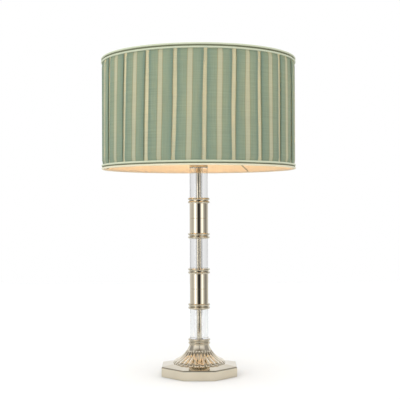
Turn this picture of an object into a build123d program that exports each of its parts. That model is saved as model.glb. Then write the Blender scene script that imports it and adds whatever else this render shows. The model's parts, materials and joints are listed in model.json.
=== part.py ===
from build123d import *

import os
from math import acos, atan2, cos, pi, radians, sin, sqrt

os.makedirs("parts", exist_ok=True)

# Table lamp: a pleated drum shade over a column of clear glass and polished metal on an octagonal base.
# Millimetres, +Z up. The origin is on the table under the column, and the front of the lamp faces -Y.

# Octagonal base
plinth_across_flats = 154.5
plinth_side_height = 20.1
plinth_bevel_height = 2.5
plinth_bevel_depth = 1.0
plinth_rise = 3.7
plinth_top_margin = 0.7
plinth_wall = 4.0
plinth_top_thickness = 4.8
felt_thickness = 2.0
felt_proud = 0.5
bottom_plate_thickness = 1.5
plate_gap = 0.25
boss_radius = 4.5
boss_corner_gap = 5.0
boss_to_weight_gap = 5.5
screw_count = 4
screw_radius = 1.5
screw_head_radius = 3.0
screw_length = 9.5
screw_gap = 0.1

# Cord gland in the back of the base
gland_bore_radius = 3.5
gland_wall = 1.4
gland_flange_width = 1.8
gland_flange_thickness = 1.5
gland_tail = 2.0

# Bell foot on the base
bell_height = 38.6
bell_foot_radius = 54.8
bell_waist_radius = 29.4
bell_waist_height = 21.2
bell_round_width = 6.3
bell_round_height = 6.9
bell_rim_width = 9.0
bell_web_thickness = 7.0
bell_cavity_top_radius = 10.0
bell_lip = 0.7
bell_neck_groove = 1.2

# Threaded rod up the middle of the lamp
rod_diameter = 10.0
rod_bore = 7.5
rod_washer_radius = 15.0
rod_washer_thickness = 1.5
rod_nut_across_flats = 17.0
rod_nut_height = 5.0
rod_tail = 0.7
rod_tail_gap = 1.0

# Column of glass, sleeves and collars
glass_diameter = 37.6
glass_bore_gap = 1.0
glass_show = 61.4
top_glass_show = 62.4
sleeve_diameter = 38.6
sleeve_wall = 1.5
sleeve_show = 61.4
sleeve_groove_width = 1.0
sleeve_groove_depth = 0.5
collar_height = 11.6
collar_lip = 1.45
collar_bulge = 1.85
collar_groove = 1.5
collar_groove_depth = 1.2
seat_depth = 2.5
glass_seat_depth = 0.8
seat_gap = 0.15
gasket_thickness = 0.5
gasket_edge_gap = 0.3
gasket_slack = 0.05
cap_overhang = 0.45
cap_height = 6.0
cap_edge_round = 1.0
locknut_height = 6.0

# Lamp holder
holder_lift = 2.0
neck_radius = 8.0
neck_height = 7.0
shoulder_height = 12.0
dome_height = 15.0
dome_wall = 1.2
dome_ledge_height = 10.0
body_height = 57.0
body_wall = 1.6
body_lip_height = 3.0
body_lip_width = 3.0
flange_height = 31.0
flange_thickness = 2.0
flange_width = 3.2
insulator_height = 45.0
insulator_wall = 4.0
insulator_floor = 22.0
contact_well_depth = 6.0
contact_well_radius = 8.5
contact_radius = 5.0
contact_thickness = 4.0
shell_wall = 0.6
shell_gap = 0.4
shell_height = 23.0
fit_gap = 0.1
running_gap = 0.08

# Push bar switch through the lamp holder
switch_bar_radius = 2.0
switch_stop_gap = 0.5
switch_travel = 6.0
switch_bar_height = 5.0
switch_bar_gap = 0.05
switch_knob_radius = 3.0
switch_knob_length = 3.0

# Screw-in bulb
bulb_cap_diameter = 26.2
bulb_cap_height = 24.0
bulb_tip_radius = 4.6
bulb_tip_height = 1.5
bulb_insulator_inset = 1.6
bulb_insulator_height = 3.5
bulb_diameter = 60.0
bulb_glass_height = 79.0
bulb_neck_inset = 0.3
bulb_neck_height = 6.0
bulb_wall = 1.0

# Shade
shade_diameter = 399.0
shade_height = 228.0
pleat_count = 22
pleat_turn = -86.8
pleat_valley_width = 10.0
pleat_depth = 2.5
cover_backing = 2.0
cover_ring_gap = 0.8
ring_wire_radius = 1.6
ring_inset = 1.0
ring_edge_drop = 3.0
lining_thickness = 1.0
lining_gap = 0.4
lining_edge_drop = 1.0
trim_height = 10.0
trim_cord_radius = 1.7
trim_tape_thickness = 1.4
trim_gap = 0.2

# Carrier that hangs the shade on the lamp holder
carrier_drop = 77.0
carrier_width = 9.8
carrier_thickness = 1.5
carrier_gap = 0.4
arm_count = 3
arm_start_angle = 55.0
arm_radius = 1.5
arm_foot = 8.5
arm_bend_radius = 8.0
arm_inset = 2.4
arm_weld_gap = 0.05
arm_slot_gap = 0.8
shade_nut_width = 8.1
shade_nut_height = 10.0
shade_nut_notches = 12
shade_nut_notch_radius = 1.6

# Sizes that follow from those above
rod_radius = rod_diameter / 2
rod_hole_radius = rod_radius + fit_gap
glass_radius = glass_diameter / 2
glass_bore_radius = rod_radius + glass_bore_gap
sleeve_radius = sleeve_diameter / 2
collar_edge_radius = max(sleeve_radius, glass_radius) + seat_gap + collar_lip
collar_radius = collar_edge_radius + collar_bulge
bell_spigot_radius = glass_radius
bell_neck_radius = collar_edge_radius - bell_lip
bell_hip_radius = bell_foot_radius - bell_round_width

octagon_sides = 8
corner_angle = 180 / octagon_sides
plinth_inside = plinth_across_flats - 2 * plinth_wall
plinth_top_across = 2 * (bell_foot_radius + plinth_top_margin)
plinth_inside_corner = plinth_inside / 2 / cos(radians(corner_angle))
boss_circle_radius = plinth_inside_corner - boss_radius - boss_corner_gap
weight_radius = boss_circle_radius - boss_radius - boss_to_weight_gap

bulb_cap_radius = bulb_cap_diameter / 2
bulb_insulator_radius = bulb_cap_radius - bulb_insulator_inset
bulb_neck_radius = bulb_cap_radius - bulb_neck_inset
shell_inner_radius = bulb_cap_radius + shell_gap
shell_outer_radius = shell_inner_radius + shell_wall
insulator_bore_radius = shell_outer_radius + fit_gap
insulator_radius = insulator_bore_radius + insulator_wall
body_inner_radius = insulator_radius + fit_gap
body_radius = body_inner_radius + body_wall
flange_radius = body_radius + flange_width
dome_inner_radius = body_radius + fit_gap
dome_radius = dome_inner_radius + dome_wall
carrier_inner_radius = body_radius + carrier_gap
carrier_radius = carrier_inner_radius + carrier_width
shade_nut_inner_radius = body_radius + running_gap
shade_nut_radius = shade_nut_inner_radius + shade_nut_width

cover_radius = shade_diameter / 2
cover_inner_radius = cover_radius - pleat_depth - cover_backing
ring_radius = cover_inner_radius + ring_inset
lining_outer_radius = ring_radius - ring_wire_radius - lining_gap
lining_inner_radius = lining_outer_radius - lining_thickness
cover_band_radius = ring_radius + ring_wire_radius + trim_gap
trim_inner_radius = cover_band_radius + trim_gap
trim_face_radius = trim_inner_radius + trim_tape_thickness

# Levels, counted up from the table
plinth_bottom_z = felt_proud
plinth_edge_z = plinth_bottom_z + plinth_side_height
plinth_shoulder_z = plinth_edge_z - plinth_bevel_height
plinth_top_z = plinth_edge_z + plinth_rise
plinth_ceiling_z = plinth_top_z - plinth_top_thickness
plate_bottom_z = felt_thickness
plate_top_z = plate_bottom_z + bottom_plate_thickness
rod_bottom_z = plate_top_z + rod_tail_gap
rod_nut_z = rod_bottom_z + rod_tail
rod_washer_z = rod_nut_z + rod_nut_height
weight_z = rod_washer_z + rod_washer_thickness
gland_z = (plate_top_z + plinth_shoulder_z) / 2
gland_shank_radius = gland_bore_radius + gland_wall
gland_length = gland_flange_thickness + plinth_wall + gland_tail

collar_z = []
glass_z = []
sleeve_z = []
next_z = plinth_top_z + bell_height
glass_shows = (glass_show, glass_show, top_glass_show)
for glass_length in glass_shows:
    collar_z.append(next_z)
    next_z += collar_height
    glass_z.append(next_z)
    next_z += glass_length
    if len(glass_z) < len(glass_shows):
        collar_z.append(next_z)
        next_z += collar_height
        sleeve_z.append(next_z)
        next_z += sleeve_show
cap_z = next_z
locknut_z = cap_z + cap_height
dome_z = locknut_z + locknut_height + holder_lift
neck_top_z = dome_z + neck_height
shoulder_top_z = neck_top_z + shoulder_height
body_z = shoulder_top_z + dome_ledge_height
dome_top_z = shoulder_top_z + dome_height
body_top_z = body_z + body_height
flange_z = body_z + flange_height
carrier_z = flange_z + flange_thickness
shade_nut_z = carrier_z + carrier_thickness
insulator_z = body_z + body_lip_height
shell_z = insulator_z + insulator_floor
contact_z = shell_z - contact_well_depth
switch_bar_z = shoulder_top_z + switch_bar_height
bulb_z = contact_z + contact_thickness
bulb_cap_z = bulb_z + bulb_tip_height + bulb_insulator_height
bulb_glass_z = bulb_cap_z + bulb_cap_height

ring_low_z = carrier_z - carrier_drop
shade_bottom_z = ring_low_z - ring_edge_drop
shade_top_z = shade_bottom_z + shade_height
ring_high_z = shade_top_z - ring_edge_drop
cover_bottom_z = ring_low_z + ring_wire_radius + cover_ring_gap
cover_top_z = ring_high_z - ring_wire_radius - cover_ring_gap
lining_bottom_z = shade_bottom_z + lining_edge_drop
lining_top_z = shade_top_z - lining_edge_drop


on_floor = (Align.CENTER, Align.CENTER, Align.MIN)


def octagon(across_flats):
    """A regular octagon with a flat side towards the front, in the sketch being drawn."""
    RegularPolygon(across_flats / 2, octagon_sides, major_radius=False, rotation=corner_angle)


def plain_tube(outer_radius, inner_radius, bottom_z, height):
    """A round tube, ring or washer about the lamp's axis."""
    with BuildPart() as tube:
        with BuildSketch(Plane.XY.offset(bottom_z)):
            Circle(outer_radius)
            Circle(inner_radius, mode=Mode.SUBTRACT)
        extrude(amount=height)
    return tube


def hex_nut(bottom_z, height):
    """A hexagonal nut on the rod."""
    with BuildPart() as nut:
        with BuildSketch(Plane.XY.offset(bottom_z)):
            RegularPolygon(rod_nut_across_flats / 2, 6, major_radius=False)
            Circle(rod_hole_radius, mode=Mode.SUBTRACT)
        extrude(amount=height)
    return nut


def wire_ring(centre_z):
    """A round wire bent into a ring at the edge of the shade."""
    with BuildPart() as ring:
        with BuildSketch(Plane.XZ):
            with Locations((ring_radius, centre_z)):
                Circle(ring_wire_radius)
        revolve(axis=Axis.Z)
    return ring


def plate_screws(gap, mode):
    """Countersunk screws in the bosses, grown by a gap, in the part being built."""
    head_height = screw_head_radius - screw_radius
    with Locations((0, 0, plate_bottom_z)):
        with PolarLocations(boss_circle_radius, screw_count, start_angle=corner_angle):
            Cone(screw_head_radius + gap, screw_radius + gap, head_height, align=on_floor, mode=mode)
            Cylinder(screw_radius + gap, screw_length + gap, align=on_floor, mode=mode)


# Felt pad under the base
with BuildPart() as felt_pad:
    with BuildSketch(Plane.XY):
        octagon(plinth_inside - 2 * plate_gap)
    extrude(amount=felt_thickness)
felt_pad.part.label = "felt_pad"
export_step(felt_pad.part, "parts/felt_pad.step")

# Bottom plate that closes the base, with countersunk screw holes
with BuildPart() as bottom_plate:
    with BuildSketch(Plane.XY.offset(plate_bottom_z)):
        octagon(plinth_inside - 2 * plate_gap)
    extrude(amount=bottom_plate_thickness)
    plate_screws(screw_gap, Mode.SUBTRACT)
bottom_plate.part.label = "bottom_plate"
export_step(bottom_plate.part, "parts/bottom_plate.step")

# Screws that hold the bottom plate to the bosses
with BuildPart() as bottom_plate_screws:
    plate_screws(0, Mode.ADD)
bottom_plate_screws.part.label = "bottom_plate_screws"
export_step(bottom_plate_screws.part, "parts/bottom_plate_screws.step")

# Octagonal plinth: upright sides, a steep bevel and eight facets that slope up to the flat under the bell
back_face = Plane(origin=(0, plinth_across_flats / 2, gland_z), x_dir=(-1, 0, 0), z_dir=(0, 1, 0))
with BuildPart() as base_plinth:
    with BuildSketch(Plane.XY.offset(plinth_bottom_z)):
        octagon(plinth_across_flats)
    extrude(amount=plinth_shoulder_z - plinth_bottom_z)
    with BuildSketch(Plane.XY.offset(plinth_shoulder_z)):
        octagon(plinth_across_flats)
    with BuildSketch(Plane.XY.offset(plinth_edge_z)):
        octagon(plinth_across_flats - 2 * plinth_bevel_depth)
    loft(ruled=True)
    with BuildSketch(Plane.XY.offset(plinth_edge_z)):
        octagon(plinth_across_flats - 2 * plinth_bevel_depth)
    with BuildSketch(Plane.XY.offset(plinth_top_z)):
        octagon(plinth_top_across)
    loft(ruled=True)
    with BuildSketch(Plane.XY.offset(plinth_bottom_z)):
        octagon(plinth_inside)
    extrude(amount=plinth_ceiling_z - plinth_bottom_z, mode=Mode.SUBTRACT)
    with BuildSketch(Plane.XY.offset(plate_top_z)):
        with PolarLocations(boss_circle_radius, screw_count, start_angle=corner_angle):
            Circle(boss_radius)
    extrude(amount=plinth_ceiling_z - plate_top_z)
    plate_screws(screw_gap, Mode.SUBTRACT)
    with BuildSketch(Plane.XY.offset(plinth_ceiling_z)):
        Circle(rod_hole_radius)
    extrude(amount=plinth_top_thickness, mode=Mode.SUBTRACT)
    with BuildSketch(back_face):
        Circle(gland_shank_radius + fit_gap)
    extrude(amount=-plinth_wall, mode=Mode.SUBTRACT)
base_plinth.part.label = "base_plinth"
export_step(base_plinth.part, "parts/base_plinth.step")

# Gland in the back of the plinth where the cord comes in
with BuildPart() as cord_gland:
    with BuildSketch(back_face):
        Circle(gland_shank_radius + gland_flange_width)
    extrude(amount=gland_flange_thickness)
    with BuildSketch(back_face):
        Circle(gland_shank_radius)
    extrude(amount=-plinth_wall - gland_tail)
    with BuildSketch(back_face.offset(gland_flange_thickness)):
        Circle(gland_bore_radius)
    extrude(amount=-gland_length, mode=Mode.SUBTRACT)
cord_gland.part.label = "cord_gland"
export_step(cord_gland.part, "parts/cord_gland.step")

# Cast weight clamped under the top of the plinth
base_weight = plain_tube(weight_radius, rod_hole_radius, weight_z, plinth_ceiling_z - weight_z)
base_weight.part.label = "base_weight"
export_step(base_weight.part, "parts/base_weight.step")

# Washer and nut that pull the rod down against the base
rod_washer = plain_tube(rod_washer_radius, rod_hole_radius, rod_washer_z, rod_washer_thickness)
rod_washer.part.label = "rod_washer"
export_step(rod_washer.part, "parts/rod_washer.step")
rod_nut = hex_nut(rod_nut_z, rod_nut_height)
rod_nut.part.label = "rod_nut"
export_step(rod_nut.part, "parts/rod_nut.step")

# Hollow rod that carries the cord and ties the column together
centre_rod = plain_tube(rod_radius, rod_bore / 2, rod_bottom_z, neck_top_z - rod_bottom_z)
centre_rod.part.label = "centre_rod"
export_step(centre_rod.part, "parts/centre_rod.step")

# Bell foot: a hollow flare that rounds over at its foot, with a groove and a spigot under the lowest collar
bell_top_z = collar_z[0]
bell_neck_z = bell_top_z - bell_neck_groove
with BuildPart() as base_bell:
    with BuildSketch(Plane.XZ):
        with BuildLine():
            flare = ThreePointArc(
                (bell_neck_radius, bell_neck_z),
                (bell_waist_radius, plinth_top_z + bell_waist_height),
                (bell_hip_radius, plinth_top_z + bell_round_height),
            )
            TangentArc(flare @ 1, (bell_foot_radius, plinth_top_z), tangent=flare % 1)
            Polyline(
                (bell_foot_radius, plinth_top_z),
                (bell_foot_radius - bell_rim_width, plinth_top_z),
                (bell_cavity_top_radius, bell_top_z - bell_web_thickness),
                (0, bell_top_z - bell_web_thickness),
                (0, bell_top_z + seat_depth),
                (bell_spigot_radius, bell_top_z + seat_depth),
                (bell_spigot_radius, bell_neck_z),
                (bell_neck_radius, bell_neck_z),
            )
        make_face()
    revolve(axis=Axis.Z)
    with BuildSketch(Plane.XY.offset(bell_top_z - bell_web_thickness)):
        Circle(rod_hole_radius)
    extrude(amount=bell_web_thickness + seat_depth, mode=Mode.SUBTRACT)
base_bell.part.label = "base_bell"
export_step(base_bell.part, "parts/base_bell.step")


def collar(bottom_z, lower_seat, upper_seat):
    """Two half-round beads over a groove, with a seat at each end given as its radius and depth."""
    lower_seat_radius, lower_seat_depth = lower_seat
    upper_seat_radius, upper_seat_depth = upper_seat
    bead_height = (collar_height - collar_groove) / 2
    groove_radius = collar_edge_radius - collar_groove_depth
    top_z = bottom_z + collar_height
    with BuildPart() as ring:
        with BuildSketch(Plane.XZ):
            with BuildLine():
                lower_bead = ThreePointArc(
                    (collar_edge_radius, bottom_z),
                    (collar_radius, bottom_z + bead_height / 2),
                    (collar_edge_radius, bottom_z + bead_height),
                )
                upper_bead = ThreePointArc(
                    (collar_edge_radius, top_z - bead_height),
                    (collar_radius, top_z - bead_height / 2),
                    (collar_edge_radius, top_z),
                )
                Polyline(
                    lower_bead @ 1,
                    (groove_radius, bottom_z + bead_height),
                    (groove_radius, top_z - bead_height),
                    upper_bead @ 0,
                )
                Polyline(
                    upper_bead @ 1,
                    (rod_hole_radius, top_z),
                    (rod_hole_radius, bottom_z),
                    lower_bead @ 0,
                )
            make_face()
        revolve(axis=Axis.Z)
        with BuildSketch(Plane.XY.offset(bottom_z)):
            Circle(lower_seat_radius)
        extrude(amount=lower_seat_depth, mode=Mode.SUBTRACT)
        with BuildSketch(Plane.XY.offset(top_z)):
            Circle(upper_seat_radius)
        extrude(amount=-upper_seat_depth, mode=Mode.SUBTRACT)
    return ring


def sleeve(show_z):
    """A metal tube seated in a collar at each end, with a fine groove round its middle."""
    groove_z = show_z + sleeve_show / 2
    with BuildPart() as tube:
        with BuildSketch(Plane.XY.offset(show_z - seat_depth)):
            Circle(sleeve_radius)
            Circle(sleeve_radius - sleeve_wall, mode=Mode.SUBTRACT)
        extrude(amount=sleeve_show + 2 * seat_depth)
        with BuildSketch(Plane.XZ):
            with BuildLine():
                Polyline(
                    (sleeve_radius, groove_z - sleeve_groove_width / 2),
                    (sleeve_radius, groove_z + sleeve_groove_width / 2),
                    (sleeve_radius - sleeve_groove_depth, groove_z),
                    close=True,
                )
            make_face()
        revolve(axis=Axis.Z, mode=Mode.SUBTRACT)
    return tube


# Five collars between the pieces of the column, counted from the base
bell_seat = (bell_spigot_radius + seat_gap, seat_depth)
glass_seat = (glass_radius + seat_gap, glass_seat_depth)
sleeve_seat = (sleeve_radius + seat_gap, seat_depth)
collar_seats = (
    (bell_seat, glass_seat),
    (glass_seat, sleeve_seat),
    (sleeve_seat, glass_seat),
    (glass_seat, sleeve_seat),
    (sleeve_seat, glass_seat),
)
for number, (bottom_z, (lower_seat, upper_seat)) in enumerate(zip(collar_z, collar_seats), start=1):
    column_collar = collar(bottom_z, lower_seat, upper_seat)
    column_collar.part.label = f"collar_{number}"
    export_step(column_collar.part, f"parts/collar_{number}.step")

# Two polished sleeves between the glass pieces
for sleeve_name, show_z in zip(("lower", "upper"), sleeve_z):
    column_sleeve = sleeve(show_z)
    column_sleeve.part.label = f"sleeve_{sleeve_name}"
    export_step(column_sleeve.part, f"parts/sleeve_{sleeve_name}.step")

# Three clear glass cylinders; the top one stands clear under the cap, the others seat at both ends
glass_seat_tops = (glass_seat_depth, glass_seat_depth, 0)
glass_names = ("lower", "middle", "upper")
for glass_name, show_z, glass_length, top_seat in zip(glass_names, glass_z, glass_shows, glass_seat_tops):
    glass_bottom_z = show_z - glass_seat_depth + gasket_thickness + gasket_slack
    glass_top_z = show_z + glass_length + top_seat - gasket_thickness - gasket_slack
    column_glass = plain_tube(glass_radius, glass_bore_radius, glass_bottom_z, glass_top_z - glass_bottom_z)
    column_glass.part.label = f"glass_{glass_name}"
    export_step(column_glass.part, f"parts/glass_{glass_name}.step")

# Thin gaskets at both ends of each glass cylinder
with BuildPart() as glass_gaskets:
    for show_z, glass_length, top_seat in zip(glass_z, glass_shows, glass_seat_tops):
        top_gasket_z = show_z + glass_length + top_seat - gasket_thickness
        for gasket_z in (show_z - glass_seat_depth, top_gasket_z):
            with BuildSketch(Plane.XY.offset(gasket_z)):
                Circle(glass_radius - gasket_edge_gap)
                Circle(glass_bore_radius, mode=Mode.SUBTRACT)
            extrude(amount=gasket_thickness)
glass_gaskets.part.label = "glass_gaskets"
export_step(glass_gaskets.part, "parts/glass_gaskets.step")

# Cap that closes the top of the column
with BuildPart() as column_cap:
    with BuildSketch(Plane.XY.offset(cap_z)):
        Circle(glass_radius + cap_overhang)
    extrude(amount=cap_height)
    fillet(column_cap.edges().filter_by(GeomType.CIRCLE), radius=cap_edge_round)
    with BuildSketch(Plane.XY.offset(cap_z)):
        Circle(rod_hole_radius)
    extrude(amount=cap_height, mode=Mode.SUBTRACT)
column_cap.part.label = "column_cap"
export_step(column_cap.part, "parts/column_cap.step")

# Locknut that clamps the whole column on the rod
cap_locknut = hex_nut(locknut_z, locknut_height)
cap_locknut.part.label = "cap_locknut"
export_step(cap_locknut.part, "parts/cap_locknut.step")

# Lamp holder dome: a threaded neck, a cone and a cup with a hole through it for the switch bar
with BuildPart() as holder_dome:
    with BuildSketch(Plane.XZ):
        with BuildLine():
            Polyline(
                (rod_hole_radius, dome_z),
                (neck_radius, dome_z),
                (neck_radius, neck_top_z),
                (dome_radius, shoulder_top_z),
                (dome_radius, dome_top_z),
                (dome_inner_radius, dome_top_z),
                (dome_inner_radius, body_z),
                (body_inner_radius, body_z),
                (body_inner_radius, shoulder_top_z),
                (rod_hole_radius, neck_top_z),
                close=True,
            )
        make_face()
    revolve(axis=Axis.Z)
    with BuildSketch(Plane.YZ):
        with Locations((0, switch_bar_z)):
            Circle(switch_bar_radius + switch_bar_gap)
    extrude(amount=dome_radius, both=True, mode=Mode.SUBTRACT)
holder_dome.part.label = "holder_dome"
export_step(holder_dome.part, "parts/holder_dome.step")

# Push bar of the switch, with a button at each end that stops against the dome
switch_left_x = -dome_radius - switch_stop_gap
switch_right_x = dome_radius + switch_stop_gap + switch_travel
with BuildPart() as switch_bar:
    with BuildSketch(Plane.YZ.offset(switch_left_x)):
        with Locations((0, switch_bar_z)):
            Circle(switch_bar_radius)
    extrude(amount=switch_right_x - switch_left_x)
    with BuildSketch(Plane.YZ.offset(switch_left_x)):
        with Locations((0, switch_bar_z)):
            Circle(switch_knob_radius)
    extrude(amount=-switch_knob_length)
    with BuildSketch(Plane.YZ.offset(switch_right_x)):
        with Locations((0, switch_bar_z)):
            Circle(switch_knob_radius)
    extrude(amount=switch_knob_length)
switch_bar.part.label = "switch_bar"
export_step(switch_bar.part, "parts/switch_bar.step")

# Lamp holder body: a threaded skirt with a flange that the shade carrier rests on
with BuildPart() as holder_body:
    with BuildSketch(Plane.XZ):
        with BuildLine():
            Polyline(
                (body_inner_radius - body_lip_width, body_z),
                (body_radius, body_z),
                (body_radius, flange_z),
                (flange_radius, flange_z),
                (flange_radius, carrier_z),
                (body_radius, carrier_z),
                (body_radius, body_top_z),
                (body_inner_radius, body_top_z),
                (body_inner_radius, insulator_z),
                (body_inner_radius - body_lip_width, insulator_z),
                close=True,
            )
        make_face()
    revolve(axis=Axis.Z)
holder_body.part.label = "holder_body"
export_step(holder_body.part, "parts/holder_body.step")

# Insulating insert that holds the screw shell and the centre contact
with BuildPart() as holder_insulator:
    with BuildSketch(Plane.XY.offset(insulator_z)):
        Circle(insulator_radius)
    extrude(amount=insulator_height)
    with BuildSketch(Plane.XY.offset(shell_z)):
        Circle(insulator_bore_radius)
    extrude(amount=insulator_height - insulator_floor, mode=Mode.SUBTRACT)
    with BuildSketch(Plane.XY.offset(contact_z)):
        Circle(contact_well_radius)
    extrude(amount=contact_well_depth, mode=Mode.SUBTRACT)
holder_insulator.part.label = "holder_insulator"
export_step(holder_insulator.part, "parts/holder_insulator.step")

# Screw shell and centre contact that feed the bulb
screw_shell = plain_tube(shell_outer_radius, shell_inner_radius, shell_z, shell_height)
screw_shell.part.label = "screw_shell"
export_step(screw_shell.part, "parts/screw_shell.step")
with BuildPart() as centre_contact:
    with BuildSketch(Plane.XY.offset(contact_z)):
        Circle(contact_radius)
    extrude(amount=contact_thickness)
centre_contact.part.label = "centre_contact"
export_step(centre_contact.part, "parts/centre_contact.step")

# Contact tip of the bulb with the cone that insulates it
with BuildPart() as bulb_tip:
    with BuildSketch(Plane.XZ):
        with BuildLine():
            Polyline(
                (0, bulb_z),
                (bulb_tip_radius, bulb_z),
                (bulb_tip_radius, bulb_z + bulb_tip_height),
                (bulb_insulator_radius, bulb_cap_z),
                (0, bulb_cap_z),
                close=True,
            )
        make_face()
    revolve(axis=Axis.Z)
bulb_tip.part.label = "bulb_tip"
export_step(bulb_tip.part, "parts/bulb_tip.step")

# Screw cap of the bulb
with BuildPart() as bulb_cap:
    with BuildSketch(Plane.XY.offset(bulb_cap_z)):
        Circle(bulb_cap_radius)
    extrude(amount=bulb_cap_height)
bulb_cap.part.label = "bulb_cap"
export_step(bulb_cap.part, "parts/bulb_cap.step")


def bulb_outline(inset):
    """Half outline of the bulb's glass from its neck to its crown, set in from the outside."""
    ball_radius = bulb_diameter / 2 - inset
    ball_z = bulb_glass_z + bulb_glass_height - bulb_diameter / 2
    neck_radius_here = bulb_neck_radius - inset
    neck_z = bulb_glass_z + bulb_neck_height
    neck_distance = sqrt(neck_radius_here**2 + (ball_z - neck_z) ** 2)
    touch = atan2(neck_z - ball_z, neck_radius_here) + acos(ball_radius / neck_distance)
    lower_side = Line((neck_radius_here, bulb_glass_z), (neck_radius_here, neck_z))
    touch_point = (ball_radius * cos(touch), ball_z + ball_radius * sin(touch))
    halfway = (touch + pi / 2) / 2
    Line(lower_side @ 1, touch_point)
    crown = ThreePointArc(
        touch_point,
        (ball_radius * cos(halfway), ball_z + ball_radius * sin(halfway)),
        (0, ball_z + ball_radius),
    )
    return lower_side @ 0, crown @ 1


# Glass envelope of the bulb
with BuildPart() as bulb_glass:
    with BuildSketch(Plane.XZ):
        with BuildLine():
            outer_foot, outer_crown = bulb_outline(0)
            inner_foot, inner_crown = bulb_outline(bulb_wall)
            Line(outer_crown, inner_crown)
            Line(inner_foot, outer_foot)
        make_face()
    revolve(axis=Axis.Z)
bulb_glass.part.label = "bulb_glass"
export_step(bulb_glass.part, "parts/bulb_glass.step")

# Carrier ring of the shade, which rests on the flange of the lamp holder
carrier_ring = plain_tube(carrier_radius, carrier_inner_radius, carrier_z, carrier_thickness)
carrier_ring.part.label = "carrier_ring"
export_step(carrier_ring.part, "parts/carrier_ring.step")

# Wire rings at the bottom and top edges of the shade
shade_bottom_ring = wire_ring(ring_low_z)
shade_bottom_ring.part.label = "shade_bottom_ring"
export_step(shade_bottom_ring.part, "parts/shade_bottom_ring.step")
shade_top_ring = wire_ring(ring_high_z)
shade_top_ring.part.label = "shade_top_ring"
export_step(shade_top_ring.part, "parts/shade_top_ring.step")

# Wire arms from under the carrier ring down to the bottom ring of the shade
arm_inner_radius = flange_radius + arm_inset
arm_bend_at_radius = arm_inner_radius + arm_foot
arm_outer_radius = ring_radius - ring_wire_radius
arm_z = carrier_z - arm_radius - arm_weld_gap
arm_slope = (arm_z - ring_low_z) / (arm_outer_radius - arm_bend_at_radius)
with BuildPart() as carrier_arms:
    for arm in range(arm_count):
        turn = radians(arm_start_angle + arm * 360 / arm_count)
        along_arm = (cos(turn), sin(turn), 0)
        across_arm = (sin(turn), -cos(turn), 0)
        arm_plane = Plane(origin=(0, 0, 0), x_dir=along_arm, z_dir=across_arm)
        with BuildLine(arm_plane) as arm_path:
            FilletPolyline(
                (arm_inner_radius, arm_z),
                (arm_bend_at_radius, arm_z),
                (arm_outer_radius, ring_low_z),
                radius=arm_bend_radius,
            )
        arm_wire = arm_path.wires()[0]
        with BuildSketch(Plane(origin=arm_wire @ 0, z_dir=arm_wire % 0)):
            Circle(arm_radius)
        sweep(path=arm_wire)
    with BuildSketch(Plane.XZ):
        with Locations((ring_radius, ring_low_z)):
            Circle(ring_wire_radius + arm_weld_gap)
    revolve(axis=Axis.Z, mode=Mode.SUBTRACT)
carrier_arms.part.label = "carrier_arms"
export_step(carrier_arms.part, "parts/carrier_arms.step")

# Ring nut that clamps the carrier, with finger notches round its edge
with BuildPart() as shade_ring_nut:
    with BuildSketch(Plane.XY.offset(shade_nut_z)):
        Circle(shade_nut_radius)
        with PolarLocations(shade_nut_radius, shade_nut_notches):
            Circle(shade_nut_notch_radius, mode=Mode.SUBTRACT)
        Circle(shade_nut_inner_radius, mode=Mode.SUBTRACT)
    extrude(amount=shade_nut_height)
shade_ring_nut.part.label = "shade_ring_nut"
export_step(shade_ring_nut.part, "parts/shade_ring_nut.step")

# Stiff lining of the shade, slotted at its lower edge for the carrier arms
arm_top_at_lining_z = ring_low_z + (arm_outer_radius - lining_inner_radius) * arm_slope + arm_radius
slot_top_z = arm_top_at_lining_z + 2 * arm_slot_gap
with BuildPart() as shade_lining:
    with BuildSketch(Plane.XY.offset(lining_bottom_z)):
        Circle(lining_outer_radius)
        Circle(lining_inner_radius, mode=Mode.SUBTRACT)
    extrude(amount=lining_top_z - lining_bottom_z)
    with BuildSketch(Plane.XY.offset(lining_bottom_z)):
        with PolarLocations(lining_inner_radius, arm_count, start_angle=arm_start_angle):
            Rectangle(4 * lining_thickness, 2 * (arm_radius + arm_slot_gap))
    extrude(amount=slot_top_z - lining_bottom_z, mode=Mode.SUBTRACT)
shade_lining.part.label = "shade_lining"
export_step(shade_lining.part, "parts/shade_lining.step")

# Pleated cover: box pleats with a recessed valley between panels, drawn in under each trim
bottom_band_height = shade_bottom_z + trim_height + trim_gap - cover_bottom_z
top_band_height = cover_top_z - shade_top_z + trim_height + trim_gap
with BuildPart() as shade_cover:
    with BuildSketch(Plane.XY.offset(cover_bottom_z)):
        Circle(cover_radius)
        with PolarLocations(cover_radius, pleat_count, start_angle=pleat_turn):
            Rectangle(2 * pleat_depth, pleat_valley_width, mode=Mode.SUBTRACT)
        Circle(cover_inner_radius, mode=Mode.SUBTRACT)
    extrude(amount=cover_top_z - cover_bottom_z)
    for band_plane, band_height in (
        (Plane.XY.offset(cover_bottom_z), bottom_band_height),
        (Plane.XY.offset(cover_top_z), -top_band_height),
    ):
        with BuildSketch(band_plane):
            Circle(cover_radius + pleat_depth)
            Circle(cover_band_radius, mode=Mode.SUBTRACT)
        extrude(amount=band_height, mode=Mode.SUBTRACT)
shade_cover.part.label = "shade_cover"
export_step(shade_cover.part, "parts/shade_cover.step")


def edge_trim(bottom_z):
    """A tape with a cord along each edge, wrapped round the shade."""
    with BuildPart() as trim:
        with BuildSketch(Plane.XZ):
            with Locations((trim_inner_radius + trim_tape_thickness / 2, bottom_z + trim_height / 2)):
                Rectangle(trim_tape_thickness, trim_height)
            for cord_z in (bottom_z + trim_cord_radius, bottom_z + trim_height - trim_cord_radius):
                with Locations((trim_face_radius, cord_z)):
                    Circle(trim_cord_radius)
            with Locations((trim_inner_radius - trim_cord_radius, bottom_z + trim_height / 2)):
                Rectangle(2 * trim_cord_radius, trim_height, mode=Mode.SUBTRACT)
        revolve(axis=Axis.Z)
    return trim


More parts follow.
